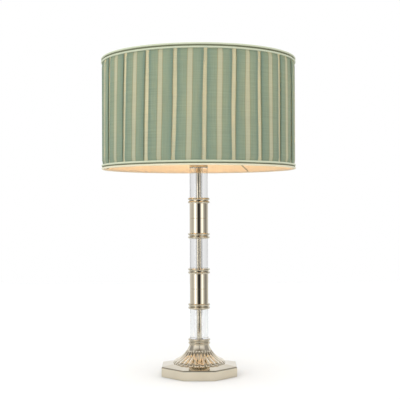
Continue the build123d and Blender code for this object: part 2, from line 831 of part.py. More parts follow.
# Corded trims round the bottom and top edges of the shade
shade_bottom_trim = edge_trim(shade_bottom_z)
shade_bottom_trim.part.label = "shade_bottom_trim"
export_step(shade_bottom_trim.part, "parts/shade_bottom_trim.step")
shade_top_trim = edge_trim(shade_top_z - trim_height)
shade_top_trim.part.label = "shade_top_trim"
export_step(shade_top_trim.part, "parts/shade_top_trim.step")
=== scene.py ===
import json
import math
import random

import bpy
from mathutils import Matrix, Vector


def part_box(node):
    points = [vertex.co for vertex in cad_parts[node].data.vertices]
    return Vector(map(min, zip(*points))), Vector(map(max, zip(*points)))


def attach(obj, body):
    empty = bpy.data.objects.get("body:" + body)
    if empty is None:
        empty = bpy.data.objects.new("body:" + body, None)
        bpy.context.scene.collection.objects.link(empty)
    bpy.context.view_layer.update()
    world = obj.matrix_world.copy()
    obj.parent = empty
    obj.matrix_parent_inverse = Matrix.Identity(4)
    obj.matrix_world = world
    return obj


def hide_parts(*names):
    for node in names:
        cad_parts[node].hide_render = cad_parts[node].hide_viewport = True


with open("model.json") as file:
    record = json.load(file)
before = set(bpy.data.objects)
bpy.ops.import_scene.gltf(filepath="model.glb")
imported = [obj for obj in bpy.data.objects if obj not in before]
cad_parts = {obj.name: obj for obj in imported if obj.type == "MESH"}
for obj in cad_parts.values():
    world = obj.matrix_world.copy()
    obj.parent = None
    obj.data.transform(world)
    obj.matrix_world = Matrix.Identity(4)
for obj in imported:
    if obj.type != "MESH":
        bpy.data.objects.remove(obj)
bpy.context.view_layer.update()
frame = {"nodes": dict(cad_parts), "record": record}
nodes = frame["nodes"]
slot_of_node = {part["node"]: part["material_slot"] for part in frame["record"]["subparts"]}

MM = 0.001
TURN = 2 * math.pi
FRONT = math.radians(-90)

# Camera, fitted to the photograph's 400 pixel frame
IMAGE_SIZE = 400
FOCAL_PIXELS = 878
HORIZON_ROW = 207.8
SENSOR_WIDTH = 36.0
CAMERA_DISTANCE = 1.8267
CAMERA_HEIGHT = 0.3457
CAMERA_ASIDE = 0.0025
CAMERA_ROLL = math.radians(0.2)

# Pleated cover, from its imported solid: panels, the folds behind their edges and the valleys' floors
cover_low, cover_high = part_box("shade_cover")
PANEL_RADIUS = cover_high.x
FOLD_RADIUS = PANEL_RADIUS - 1.3 * MM
VALLEY_FLOOR_RADIUS = PANEL_RADIUS - 2.5 * MM
PLEATS = 22
PLEAT_STEP = TURN / PLEATS
FIRST_VALLEY = FRONT + math.radians(3.2)
VALLEY_WIDTH = 10.6 * MM
FOLD_UNDER = 5.0 * MM
PANEL_POINTS = 9
COVER_ROWS = 34

# Near the cover's ends the trims press the pleats: fully up to one distance, and not at all past another
PRESSED_RADIUS = PANEL_RADIUS - 1.7 * MM
PRESSED_FOLD_RADIUS = PANEL_RADIUS - 2.4 * MM
PRESS_FULL = 3.6 * MM
PRESS_GONE = 12.0 * MM

# How the valleys stray: a lean that changes round the shade, a pinch at both ends, and chance
LEAN_MEAN = -0.5 * MM
LEAN_SWING = 5.5 * MM
LEAN_TURN = math.radians(30)
VALLEY_PINCH = 1.6 * MM
CHANCE_SHIFT = 0.8 * MM
CHANCE_LEAN = 1.0 * MM
CHANCE_WIDTH = 1.0 * MM
CHANCE_TAPER = 2.5 * MM
WAVE_LEAST = 0.2 * MM
WAVE_MOST = 0.6 * MM
COVER_SEED = 22

# Cloth stripes: one in the middle of each panel and one in each valley
HALF_PANEL = PANEL_RADIUS * PLEAT_STEP / 2 - VALLEY_WIDTH / 2
FOLD_ROUNDS = math.pi * (PANEL_RADIUS - VALLEY_FLOOR_RADIUS) / 2
STRIPE_PITCH = VALLEY_WIDTH / 2 + 2 * FOLD_UNDER + FOLD_ROUNDS + HALF_PANEL
PANEL_STRIPE_HALF_WIDTH = 4.6 * MM
VALLEY_STRIPE_HALF_WIDTH = 4.0 * MM
STRIPE_SOFTNESS = 1.1 * MM
# Tan lines at the stripes' edges, strong enough to stand also as painted shade in the folds beside the
# valleys
STRIPE_LINE_NEAR = 0.3 * MM
STRIPE_LINE_FAR = 2.0 * MM
STRIPE_LINE_SHARE = 0.6

# Lining, with faint upright ripples
lining_low, lining_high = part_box("shade_lining")
LINING_RADIUS = lining_high.x - 0.5 * MM
LINING_COLUMNS = 352
LINING_ROWS = 12
RIPPLES = 5
RIPPLE_COUNTS = (18, 60)
RIPPLE_SIZES = (0.04 * MM, 0.10 * MM)
LINING_SEED = 7
# Its hem round the wire at each end, as points outward from the lining and inward from the end
LINING_HEM = ((4.5 * MM, 0.2 * MM), (2.6 * MM, -0.5 * MM), (1.0 * MM, 0.3 * MM), (0.2 * MM, 2.0 * MM))

# Trims: two cords on a flat tape
TOP_CORD_RADIUS = 1.75 * MM
BOTTOM_CORD_RADIUS = 1.9 * MM
TRIM_COLUMNS = 704
TRIM_CORD_SIDES = 10
TAPE_THICKNESS = 1.2 * MM
TAPE_TUCK = 0.55 * MM
TAPE_SOFT_CORNER = 0.3 * MM
TAPE_SWELL = 0.2 * MM

# Bell foot
bell_low, bell_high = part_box("base_bell")
_, rod_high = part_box("centre_rod")
collar_low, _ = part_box("collar_1")
BELL_FOOT_RADIUS = bell_high.x
BELL_NECK_GROOVE = 1.2 * MM
BELL_NECK = Vector((20.2 * MM, collar_low.z - BELL_NECK_GROOVE))
BELL_WAIST = Vector((29.4 * MM, bell_low.z + 21.2 * MM))
BELL_HIP = Vector((BELL_FOOT_RADIUS - 6.3 * MM, bell_low.z + 6.9 * MM))
BELL_SPIGOT_RADIUS = 18.8 * MM
BELL_RIM = 9.0 * MM
BELL_HOLLOW_HEIGHT = 30 * MM
BELL_BORE_RADIUS = rod_high.x + 0.3 * MM
LOBES = 26
LOBE_COLUMNS = 14
LOBE_DEPTH = 2.0 * MM
LOBE_START_DEPTH = 2.2 * MM
LOBE_END_DEPTH = 4.2 * MM
LOBE_START_Z = bell_low.z + 27.0 * MM
LOBE_START_LENGTH = 1.8 * MM
LOBE_END_POWER = 0.45
FIRST_GROOVE = FRONT + math.radians(0.4)
FLARE_POINTS = 34
ROUNDING_POINTS = 14
BELL_CREASE_ANGLE = math.radians(38)

# Felt under the base, as rings of its octagon whose sizes are shares of the whole
felt_low, felt_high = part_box("felt_pad")
FELT_SIDES = 8
FELT_SIDE_POINTS = 12
FELT_ROUND = 0.5 * MM
FELT_INMOST_RING = 0.002
FELT_MIDDLE_RING = 0.5

# Table top, paler further from the lamp: darker near it, painted shade against the lamp's own light there and
# its mirror in the metal
FLOOR_NEAR = (0.755, 0.755, 0.75, 1)
FLOOR_FAR = (0.89, 0.89, 0.885, 1)
FLOOR_FADE = (0.3, 2.4)
FLOOR_FADE_SHARE = 0.92
FLOOR_CLOUD_SHARE = 0.08
FLOOR_SIDE = 1.0
FLOOR_FRONT = -0.62
FLOOR_BACK = 2.2


def srgb(red, green, blue):
    """A display colour of 0 to 255 as linear light, with full alpha."""
    linear = []
    for level in (red, green, blue):
        share = level / 255
        linear.append(share / 12.92 if share <= 0.04045 else ((share + 0.055) / 1.055) ** 2.4)
    return (*linear, 1.0)


def smooth_step(value, low, high):
    """0 below low, 1 above high and a soft rise between."""
    share = min(max((value - low) / (high - low), 0.0), 1.0)
    return share * share * (3 - 2 * share)


def blend(first, second, share):
    """A share of the way from first to second."""
    return first + (second - first) * share


def polar(radius, azimuth, z):
    """The point at a radius, an azimuth and a height."""
    return (radius * math.cos(azimuth), radius * math.sin(azimuth), z)


class Nodes:
    """A node tree, built up one node at a time."""

    def __init__(self, tree):
        self.tree = tree

    def feed(self, socket, value):
        """Links an output to a socket, or sets a plain value there."""
        if isinstance(value, bpy.types.NodeSocket):
            self.tree.links.new(value, socket)
        else:
            socket.default_value = value

    def node(self, kind, output, inputs, **settings):
        """A new node with its settings and inputs, given back as one of its outputs."""
        made = self.tree.nodes.new(kind)
        for name, value in settings.items():
            setattr(made, name, value)
        for key, value in inputs.items():
            self.feed(made.inputs[key], value)
        return made.outputs[output]

    def math(self, operation, *values):
        """A sum or function of one or two numbers."""
        return self.node("ShaderNodeMath", "Value", dict(enumerate(values)), operation=operation)

    def axis(self, vector, name):
        """The X, Y or Z of a vector."""
        return self.node("ShaderNodeSeparateXYZ", name, {"Vector": vector})

    def noise(self, vector, scale, detail):
        """A cloudy pattern with scale clouds to the metre, finer with more detail."""
        return self.node("ShaderNodeTexNoise", 0, {"Vector": vector, "Scale": scale, "Detail": detail})

    def spread(self, value, low, high, first, second, smooth=False):
        """value from low to high as a number from first to second."""
        inputs = {"Value": value, "From Min": low, "From Max": high, "To Min": first, "To Max": second}
        kind = "SMOOTHSTEP" if smooth else "LINEAR"
        return self.node("ShaderNodeMapRange", "Result", inputs, interpolation_type=kind)

    def ease(self, value, limits):
        """0 at the first limit, 1 at the second and a soft change between."""
        return self.spread(value, *limits, 0, 1, smooth=True)

    def vary(self, noise, first, second):
        """A noise, which stays mostly between 0.3 and 0.7, as a number from first to second."""
        return self.spread(noise, 0.3, 0.7, first, second)

    def mix(self, share, first, second):
        """A colour between two colours."""
        inputs = {0: share, 6: first, 7: second}
        return self.node("ShaderNodeMix", 2, inputs, data_type="RGBA")

    def either(self, share, first, second):
        """A shader between two shaders."""
        return self.node("ShaderNodeMixShader", "Shader", {0: share, 1: first, 2: second})


class Look(Nodes):
    """One material, built up from its Principled shader."""

    def __init__(self, name):
        self.material = bpy.data.materials.new(name)
        self.material.use_nodes = True
        super().__init__(self.material.node_tree)
        self.shader = self.tree.nodes["Principled BSDF"]
        self.output = self.tree.nodes["Material Output"]

    def set(self, **inputs):
        """Values for the Principled shader, with its socket names in lower case and underscores."""
        names = {socket.name.lower().replace(" ", "_"): socket for socket in self.shader.inputs}
        for key, value in inputs.items():
            self.feed(names[key], value)

    def place(self, stretch=(1, 1, 1)):
        """The point on the piece in metres, stretched."""
        point = self.node("ShaderNodeTexCoord", "Object", {})
        return self.node("ShaderNodeMapping", "Vector", {"Vector": point, "Scale": stretch})

    def bump(self, height, strength, distance):
        """A normal for a fine relief of up to distance metres."""
        inputs = {"Height": height, "Strength": strength, "Distance": distance}
        return self.node("ShaderNodeBump", "Normal", inputs)

    def let_light_through(self, colour, share):
        """Mixes in a shader that glows on the far side of the cloth."""
        through = self.node("ShaderNodeBsdfTranslucent", "BSDF", {"Color": colour})
        mixed = self.either(share, self.shader.outputs["BSDF"], through)
        self.feed(self.output.inputs["Surface"], mixed)


def metal_look(name, bright, dull, rough_low, rough_high, grain=(1, 1, 1)):
    """A metal with a soft drift of tone and a fine, uneven polish."""
    look = Look(name)
    drift = look.noise(look.place(), scale=24, detail=4)
    polish = look.noise(look.place(grain), scale=420, detail=5)
    tone = look.spread(drift, 0.35, 0.7, 0, 1)
    look.set(
        base_color=look.mix(tone, bright, dull),
        metallic=1.0,
        roughness=look.vary(polish, rough_low, rough_high),
        normal=look.bump(polish, strength=0.03, distance=0.2 * MM),
    )
    return look.material


def polished_nickel():
    """Warm, mirror bright plating."""
    return metal_look("polished_nickel", (0.68, 0.617, 0.497, 1), (0.635, 0.57, 0.45, 1), 0.03, 0.075)


def warm_nickel():
    """The collars' and the cap's plating, a shade browner, and darker than the other nickel as painted shade
    on the beads and the cap.
    """
    return metal_look("warm_nickel", (0.57, 0.52, 0.41, 1), (0.50, 0.45, 0.345, 1), 0.04, 0.09)


def zinc_steel():
    """Zinc plated nuts, washers, plate and screws."""
    return metal_look("zinc_steel", (0.62, 0.60, 0.55, 1), (0.48, 0.47, 0.43, 1), 0.28, 0.42, (1, 1, 6))


def holder_brass():
    """Satin brass with turning marks."""
    return metal_look("holder_brass", (0.76, 0.58, 0.30, 1), (0.62, 0.46, 0.22, 1), 0.16, 0.30, (1, 1, 8))


def bulb_metal():
    """Rolled aluminium of the bulb's cap."""
    return metal_look("bulb_metal", (0.80, 0.79, 0.76, 1), (0.66, 0.65, 0.62, 1), 0.18, 0.30, (1, 1, 10))


def frame_wire():
    """Brassed wire of the shade's frame."""
    return metal_look("frame_wire", (0.52, 0.42, 0.27, 1), (0.40, 0.32, 0.19, 1), 0.28, 0.42)


def clear_glass():
    """Clear glass rod with the faint lengthwise draw of pressed glass."""
    look = Look("clear_glass")
    draw = look.noise(look.place((60, 60, 3)), scale=5, detail=2)
    look.set(
        base_color=(0.87, 0.872, 0.87, 1),
        roughness=0.0,
        ior=1.5,
        transmission_weight=1.0,
        normal=look.bump(draw, strength=0.004, distance=0.4 * MM),
    )
    return look.material


def gasket():
    """Thin clear plastic."""
    look = Look("gasket")
    cloud = look.noise(look.place(), scale=90, detail=3)
    look.set(
        base_color=look.mix(cloud, (0.96, 0.96, 0.94, 1), (0.90, 0.90, 0.87, 1)),
        roughness=look.vary(cloud, 0.08, 0.2),
        ior=1.42,
        transmission_weight=1.0,
    )
    return look.material


def cast_iron():
    """Dark casting with a sandy skin."""
    look = Look("cast_iron")
    sand = look.noise(look.place(), scale=700, detail=6)
    stain = look.noise(look.place(), scale=40, detail=4)
    look.set(
        base_color=look.mix(stain, (0.07, 0.07, 0.07, 1), (0.15, 0.13, 0.11, 1)),
        metallic=0.6,
        roughness=look.vary(sand, 0.55, 0.8),
        normal=look.bump(sand, strength=0.5, distance=0.6 * MM),
    )
    return look.material


def felt():
    """Dark green felt: matted fibres, soft sheen."""
    look = Look("felt")
    fibres = look.noise(look.place(), scale=1600, detail=6)
    tufts = look.noise(look.place(), scale=160, detail=4)
    look.set(
        base_color=look.mix(tufts, (0.030, 0.045, 0.035, 1), (0.065, 0.085, 0.065, 1)),
        roughness=look.vary(fibres, 0.85, 1.0),
        sheen_weight=0.4,
        sheen_roughness=0.6,
        normal=look.bump(fibres, strength=0.6, distance=0.8 * MM),
    )
    return look.material


def gland_plastic():
    """Moulded cream plastic."""
    look = Look("gland_plastic")
    skin = look.noise(look.place(), scale=900, detail=4)
    cloud = look.noise(look.place(), scale=60, detail=2)
    look.set(
        base_color=look.mix(cloud, srgb(226, 214, 190), srgb(210, 198, 172)),
        roughness=look.vary(skin, 0.35, 0.5),
        normal=look.bump(skin, strength=0.1, distance=0.2 * MM),
    )
    return look.material


def holder_ceramic():
    """Glazed porcelain."""
    look = Look("holder_ceramic")
    glaze = look.noise(look.place(), scale=120, detail=4)
    look.set(
        base_color=look.mix(glaze, srgb(240, 236, 226), srgb(226, 221, 208)),
        roughness=look.vary(glaze, 0.12, 0.22),
        coat_weight=0.4,
        coat_roughness=0.08,
        normal=look.bump(glaze, strength=0.05, distance=0.4 * MM),
    )
    return look.material


BULB_GLOW = 46.0
BULB_COLOUR_NECK = (1.0, 0.62, 0.34, 1)
BULB_COLOUR_TOP = (1.0, 0.78, 0.53, 1)
BULB_NECK_SHARE = 0.4


def opal_glass():
    """Lit opal envelope, a little dimmer and redder towards the neck."""
    look = Look("opal_glass")
    low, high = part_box("bulb_glass")
    height = look.axis(look.place(), "Z")
    rise = look.ease(height, (low.z, blend(low.z, high.z, BULB_NECK_SHARE)))
    look.set(
        base_color=look.mix(rise, srgb(230, 214, 190), srgb(252, 246, 234)),
        roughness=0.22,
        emission_color=look.mix(rise, BULB_COLOUR_NECK, BULB_COLOUR_TOP),
        emission_strength=BULB_GLOW,
    )
    return look.material


def cloth_place(look):
    """Metres along the cloth, around the shade and up it."""
    cloth = look.node("ShaderNodeUVMap", "UV", {}, uv_map="cloth")
    return cloth, look.axis(cloth, "X"), look.axis(cloth, "Y")


def weave(look, along, up, thread):
    """Height of a plain weave: threads over and under, thread metres apart."""
    turns = TURN / thread
    warp = look.math("SINE", look.math("MULTIPLY", along, turns))
    weft = look.math("SINE", look.math("MULTIPLY", up, turns))
    return look.math("MULTIPLY", warp, weft)


def stretched(look, vector, stretch):
    """A place on the cloth, scaled along and up."""
    return look.node("ShaderNodeMapping", "Vector", {"Vector": vector, "Scale": stretch})


THREAD = 0.7 * MM
GREEN = (0.315, 0.408, 0.308, 1)
GREEN_DARK = (0.262, 0.341, 0.255, 1)
# Valley stripes: brighter and warmer than the panel stripes, painted glow of the lamp's light through the
# valleys
CREAM_WITH_PAINTED_GLOW = (0.67, 0.69, 0.505, 1)
CREAM_WITH_PAINTED_GLOW_DARK = (0.59, 0.60, 0.435, 1)
PALE_GREEN = (0.525, 0.565, 0.425, 1)
PALE_GREEN_DARK = (0.46, 0.495, 0.37, 1)
# Tan of the stripes' edge lines, also painted shade in the folds
TAN_LINE_AND_FOLD_SHADE = (0.34, 0.30, 0.17, 1)
COVER_LETS_THROUGH = 0.36


def striped_fabric():
    """Green linen with stripes between thin tan lines, the lines also painted shade in the folds beside the
    valleys: paler green up each panel, and down each valley a brighter, warmer cream that is painted glow of
    the lamp's light.
    """
    look = Look("striped_fabric")
    cloth, along, up = cloth_place(look)
    wander = look.noise(stretched(look, cloth, (9, 7, 1)), scale=1.0, detail=2)
    from_stripe = look.math("PINGPONG", along, STRIPE_PITCH / 2)
    from_valley = look.math("PINGPONG", along, STRIPE_PITCH)
    on_panel = look.math("GREATER_THAN", from_valley, STRIPE_PITCH / 2)
    half_width = look.spread(on_panel, 0, 1, VALLEY_STRIPE_HALF_WIDTH, PANEL_STRIPE_HALF_WIDTH)
    half_width = look.math("MULTIPLY", half_width, look.vary(wander, 0.85, 1.12))
    past_edge = look.math("SUBTRACT", from_stripe, half_width)
    stripe = look.ease(past_edge, (STRIPE_SOFTNESS, -STRIPE_SOFTNESS))
    from_edge = look.math("ABSOLUTE", past_edge)
    # Tan line along both edges of each stripe, partly painted shade in the folds
    tan_line_and_fold_shade = look.spread(from_edge, STRIPE_LINE_NEAR, STRIPE_LINE_FAR, STRIPE_LINE_SHARE, 0, smooth=True)
    slub = look.noise(stretched(look, cloth, (900, 14, 1)), scale=1.0, detail=3)
    weft_slub = look.noise(stretched(look, cloth, (12, 800, 1)), scale=1.0, detail=3)
    shade = look.spread(look.math("ADD", slub, weft_slub), 0.75, 1.25, 0, 1)
    green = look.mix(shade, GREEN, GREEN_DARK)
    # the valley stripes' cream carries painted glow of the lamp
    valley_stripe_with_painted_glow = look.mix(shade, CREAM_WITH_PAINTED_GLOW, CREAM_WITH_PAINTED_GLOW_DARK)
    panel_stripe = look.mix(shade, PALE_GREEN, PALE_GREEN_DARK)
    ground = look.mix(tan_line_and_fold_shade, green, TAN_LINE_AND_FOLD_SHADE)
    colour = look.mix(stripe, ground, look.mix(on_panel, valley_stripe_with_painted_glow, panel_stripe))
    threads = weave(look, along, up, THREAD)
    relief = look.math("ADD", threads, look.math("MULTIPLY", slub, 1.5))
    look.set(
        base_color=colour,
        roughness=look.vary(slub, 0.78, 0.92),
        specular_ior_level=0.15,
        sheen_weight=0.04,
        sheen_roughness=0.5,
        normal=look.bump(relief, strength=0.35, distance=0.2 * MM),
    )
    look.let_light_through(colour, COVER_LETS_THROUGH)
    return look.material


LINING_THREAD = 0.6 * MM
PEACH = (0.86, 0.70, 0.50, 1)
PEACH_DARK = (0.80, 0.62, 0.42, 1)
LINING_LETS_THROUGH = 0.35


def lining_fabric():
    """Thin peach lining with a fine weave."""
    look = Look("lining_fabric")
    cloth, along, up = cloth_place(look)
    slub = look.noise(stretched(look, cloth, (500, 20, 1)), scale=1.0, detail=3)
    colour = look.mix(slub, PEACH, PEACH_DARK)
    threads = weave(look, along, up, LINING_THREAD)
    look.set(
        base_color=colour,
        roughness=look.vary(slub, 0.6, 0.75),
        sheen_weight=0.1,
        normal=look.bump(threads, strength=0.15, distance=0.1 * MM),
    )
    look.let_light_through(colour, LINING_LETS_THROUGH)
    return look.material


CORD_LAY = 2.4 * MM
CORD = (0.71, 0.75, 0.56, 1)
CORD_DARK = (0.63, 0.665, 0.48, 1)
CORD_LETS_THROUGH = 0.15
# The lowest cord's colours: paler and warmer than the others, painted glow of the lamp's light through it
CORD_PAINTED_GLOW = (0.88, 0.82, 0.61, 1)
CORD_PAINTED_GLOW_DARK = (0.80, 0.74, 0.54, 1)
CORD_PAINTED_GLOW_LETS_THROUGH = 0.12
TAPE_RIB = 1.2 * MM
OLIVE = (0.175, 0.185, 0.104, 1)
OLIVE_DARK = (0.130, 0.138, 0.075, 1)


def trim_cord_fabric(name, light, dark, through):
    """Pale satin cord with a slanting lay, which lets a share of the lamp's light through."""
    look = Look(name)
    cloth, along, up = cloth_place(look)
    lay = look.math("SINE", look.math("MULTIPLY", look.math("ADD", along, up), TURN / CORD_LAY))
    patch = look.noise(stretched(look, cloth, (60, 60, 1)), scale=1.0, detail=3)
    colour = look.mix(patch, light, dark)
    look.set(
        base_color=colour,
        roughness=look.spread(lay, -1, 1, 0.5, 0.65),
        sheen_weight=0.2,
        normal=look.bump(lay, strength=0.4, distance=0.3 * MM),
    )
    look.let_light_through(colour, through)
    return look.material


def trim_tape_fabric():
    """Dark olive ribbed tape."""
    look = Look("trim_tape_fabric")
    cloth, along, _ = cloth_place(look)
    ribs = look.math("SINE", look.math("MULTIPLY", along, TURN / TAPE_RIB))
    patch = look.noise(stretched(look, cloth, (40, 200, 1)), scale=1.0, detail=3)
    look.set(
        base_color=look.mix(patch, OLIVE, OLIVE_DARK),
        roughness=look.spread(ribs, -1, 1, 0.7, 0.85),
        normal=look.bump(ribs, strength=0.4, distance=0.3 * MM),
    )
    return look.material


cad_looks = {
    "polished_nickel": polished_nickel(),
    "clear_glass": clear_glass(),
    "gasket": gasket(),
    "zinc_steel": zinc_steel(),
    "cast_iron": cast_iron(),
    "felt": felt(),
    "gland_plastic": gland_plastic(),
    "holder_brass": holder_brass(),
    "holder_ceramic": holder_ceramic(),
    "bulb_metal": bulb_metal(),
    "opal_glass": opal_glass(),
    "frame_wire": frame_wire(),
}


def dress_cad_nodes():
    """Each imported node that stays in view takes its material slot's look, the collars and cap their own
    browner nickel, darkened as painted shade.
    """
    collar_look = warm_nickel()
    for name, piece in nodes.items():
        look = cad_looks.get(slot_of_node[name])
        # collars and cap: a darker copy of the nickel, painted shade
        if name.startswith("collar") or name == "column_cap":
            look = collar_look
        if look is None:
            continue
        if not piece.material_slots:
            piece.data.materials.append(look)
        for slot in piece.material_slots:
            slot.material = look


def grid_faces(rows, columns, rows_close=False):
    """Quads of a grid whose columns go round and close, and whose rows may close too."""
    faces = []
    for row in range(rows if rows_close else rows - 1):
        low = row * columns
        high = (row + 1) % rows * columns
        for column in range(columns):
            after = (column + 1) % columns
            faces.append((low + column, low + after, high + after, high + column))
    return faces


def add_piece(name, points, faces, look, body, replaced=()):
    """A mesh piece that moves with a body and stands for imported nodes."""
    mesh = bpy.data.meshes.new(name)
    mesh.from_pydata(points, [], faces)
    mesh.update()
    mesh.shade_smooth()
    mesh.materials.append(look)
    piece = bpy.data.objects.new(name, mesh)
    bpy.context.scene.collection.objects.link(piece)
    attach(piece, body)
    if replaced:
        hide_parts(*replaced)
    return piece


def map_cloth(piece, columns, along, up):
    """Writes each corner's place on the cloth: along[row][column] and up[row], in metres."""
    layer = piece.data.uv_layers.new(name="cloth")
    for face in piece.data.polygons:
        closing = any(index % columns == 0 for index in face.vertices)
        closing = closing and any(index % columns == columns - 1 for index in face.vertices)
        for corner in face.loop_indices:
            row, column = divmod(piece.data.loops[corner].vertex_index, columns)
            if closing and column == 0:
                column = columns
            layer.data[corner].uv = (along[row][column], up[row])


class Valley:
    """One pleat's valley: where its middle runs and how wide it opens, with the hand's unevenness."""

    def __init__(self, index, chance):
        self.azimuth = FIRST_VALLEY + index * PLEAT_STEP
        self.shift = chance.uniform(-CHANCE_SHIFT, CHANCE_SHIFT)
        self.lean = LEAN_MEAN + LEAN_SWING * math.sin(self.azimuth - FRONT - LEAN_TURN)
        self.lean += chance.uniform(-CHANCE_LEAN, CHANCE_LEAN)
        self.extra_width = chance.uniform(-CHANCE_WIDTH, CHANCE_WIDTH)
        self.taper = chance.uniform(-CHANCE_TAPER, CHANCE_TAPER)
        self.wave = chance.uniform(WAVE_LEAST, WAVE_MOST)
        self.phase = chance.uniform(0, TURN)

    def middle(self, share):
        """Azimuth of the valley's middle, a share of the way up."""
        wave = self.wave * math.sin(TURN * share + self.phase)
        return self.azimuth + (self.shift + self.lean * (0.5 - share) + wave) / PANEL_RADIUS

    def half_width(self, share):
        """Half the valley's width, a share of the way up."""
        pinch = VALLEY_PINCH * (2 * share - 1) ** 2
        return (VALLEY_WIDTH + self.extra_width + self.taper * (0.5 - share) - pinch) / 2


def round_fold(edge, start, end, side):
    """Half round from one layer to the next, as steps of arc length from the valley and radius."""
    centre = (start + end) / 2
    size = (end - start) / 2
    steps = []
    for angle in (-45, 0, 45):
        swing = math.radians(angle)
        steps.append((edge + side * size * math.cos(swing), centre + size * math.sin(swing)))
    return steps


def half_valley(half_width, panel, fold, floor):
    """From the valley's middle out to the panel's edge: floor, tuck, fold under and rounded edge."""
    tuck = half_width + FOLD_UNDER
    section = [(0.0, floor), (half_width * 0.5, floor), (half_width, floor), (tuck, floor)]
    section += round_fold(tuck, floor, fold, 1)
    section += [(tuck, fold), (half_width + FOLD_UNDER * 0.5, fold), (half_width, fold)]
    section += round_fold(half_width, fold, panel, -1)
    section.append((half_width, panel))
    return section


def section_lengths(section):
    """Length of cloth from the first point of a section to each of its points."""
    lengths = [0.0]
    for (arc_a, radius_a), (arc_b, radius_b) in zip(section, section[1:]):
        lengths.append(lengths[-1] + math.hypot(arc_b - arc_a, radius_b - radius_a))
    return lengths


def pleat_row(z, share, valleys):
    """One ring of cloth at a height: its points and each point's place along the cloth."""
    from_end = min(z - cover_low.z, cover_high.z - z)
    freed = smooth_step(from_end, PRESS_FULL, PRESS_GONE)
    panel = blend(PRESSED_RADIUS, PANEL_RADIUS, freed)
    fold = blend(PRESSED_FOLD_RADIUS, FOLD_RADIUS, freed)
    points = []
    along = []
    for index, valley in enumerate(valleys):
        following = valleys[(index + 1) % PLEATS]
        wrap = TURN if index == PLEATS - 1 else 0.0
        start = valley.middle(share)
        stop = following.middle(share) + wrap
        first = half_valley(valley.half_width(share), panel, fold, VALLEY_FLOOR_RADIUS)
        last = half_valley(following.half_width(share), panel, fold, VALLEY_FLOOR_RADIUS)
        last_lengths = section_lengths(last)
        cloth_start = 2 * index * STRIPE_PITCH
        cloth_stop = cloth_start + 2 * STRIPE_PITCH
        for (arc, radius), length in zip(first, section_lengths(first)):
            points.append(polar(radius, start + arc / PANEL_RADIUS, z))
            along.append(cloth_start + length)
        panel_start = start + first[-1][0] / PANEL_RADIUS
        panel_stop = stop - last[-1][0] / PANEL_RADIUS
        cloth_panel_start = along[-1]
        cloth_panel_stop = cloth_stop - last_lengths[-1]
        for step in range(1, PANEL_POINTS):
            portion = step / PANEL_POINTS
            points.append(polar(panel, blend(panel_start, panel_stop, portion), z))
            along.append(blend(cloth_panel_start, cloth_panel_stop, portion))
        for (arc, radius), length in list(zip(last, last_lengths))[:0:-1]:
            points.append(polar(radius, stop - arc / PANEL_RADIUS, z))
            along.append(cloth_stop - length)
    along.append(2 * PLEATS * STRIPE_PITCH)
    return points, along


def add_pleated_cover():
    """The striped cloth in inverted box pleats."""
    chance = random.Random(COVER_SEED)
    valleys = [Valley(index, chance) for index in range(PLEATS)]
    points = []
    along = []
    up = []
    for row in range(COVER_ROWS):
        share = row / (COVER_ROWS - 1)
        z = blend(cover_low.z, cover_high.z, share)
        row_points, row_along = pleat_row(z, share, valleys)
        points += row_points
        along.append(row_along)
        up.append(z - cover_low.z)
    columns = len(points) // COVER_ROWS
    faces = grid_faces(COVER_ROWS, columns)
    piece = add_piece(
        "pleated_cover", points, faces, striped_fabric(),
        body="shade", replaced=["shade_cover"],
    )
    map_cloth(piece, columns, along, up)


def lining_profile():
    """Radius and height up the lining, with a hem round the wire at each end."""
    low, high = lining_low.z, lining_high.z
    profile = [(LINING_RADIUS + outward, low + inward) for outward, inward in LINING_HEM]
    profile += [(LINING_RADIUS, blend(low, high, row / LINING_ROWS)) for row in range(1, LINING_ROWS)]
    profile += [(LINING_RADIUS + outward, high - inward) for outward, inward in reversed(LINING_HEM)]
    return profile


def add_lining():
    """The thin lining, stretched between the rings with faint upright ripples."""
    chance = random.Random(LINING_SEED)
    ripples = []
    for _ in range(RIPPLES):
        count = chance.randint(*RIPPLE_COUNTS)
        phase = chance.uniform(0, TURN)
        ripples.append((count, phase, chance.uniform(*RIPPLE_SIZES)))
    points = []
    along = []
    up = []
    profile = lining_profile()
    reach = [LINING_RADIUS * TURN * column / LINING_COLUMNS for column in range(LINING_COLUMNS + 1)]
    climbed = 0.0
    for row, (radius, z) in enumerate(profile):
        if row:
            climbed += math.dist(profile[row - 1], profile[row])
        up.append(climbed)
        for column in range(LINING_COLUMNS):
            azimuth = TURN * column / LINING_COLUMNS
            ripple = sum(size * math.sin(count * azimuth + phase) for count, phase, size in ripples)
            points.append(polar(radius + ripple, azimuth, z))
        along.append(reach)
    faces = grid_faces(len(profile), LINING_COLUMNS)
    piece = add_piece(
        "lining_sheet", points, faces, lining_fabric(),
        body="shade", replaced=["shade_lining"],
    )
    map_cloth(piece, LINING_COLUMNS, along, up)


def ring_piece(name, section, look):
    """A closed section of radius and height points swept round the shade."""
    points = []
    for radius, z in section:
        for column in range(TRIM_COLUMNS):
            points.append(polar(radius, TURN * column / TRIM_COLUMNS, z))
    faces = grid_faces(len(section), TRIM_COLUMNS, rows_close=True)
    piece = add_piece(name, points, faces, look, "shade")
    reach = section[0][0] * TURN
    along = [[reach * column / TRIM_COLUMNS for column in range(TRIM_COLUMNS + 1)]] * len(section)
    up = [0.0]
    for first, second in zip(section, section[1:]):
        up.append(up[-1] + math.dist(first, second))
    map_cloth(piece, TRIM_COLUMNS, along, up)
    return piece


def cord_section(radius, z, cord_radius):
    """A round section at a radius and height."""
    section = []
    for side in range(TRIM_CORD_SIDES):
        angle = TURN * side / TRIM_CORD_SIDES
        section.append((radius + cord_radius * math.cos(angle), z + cord_radius * math.sin(angle)))
    return section


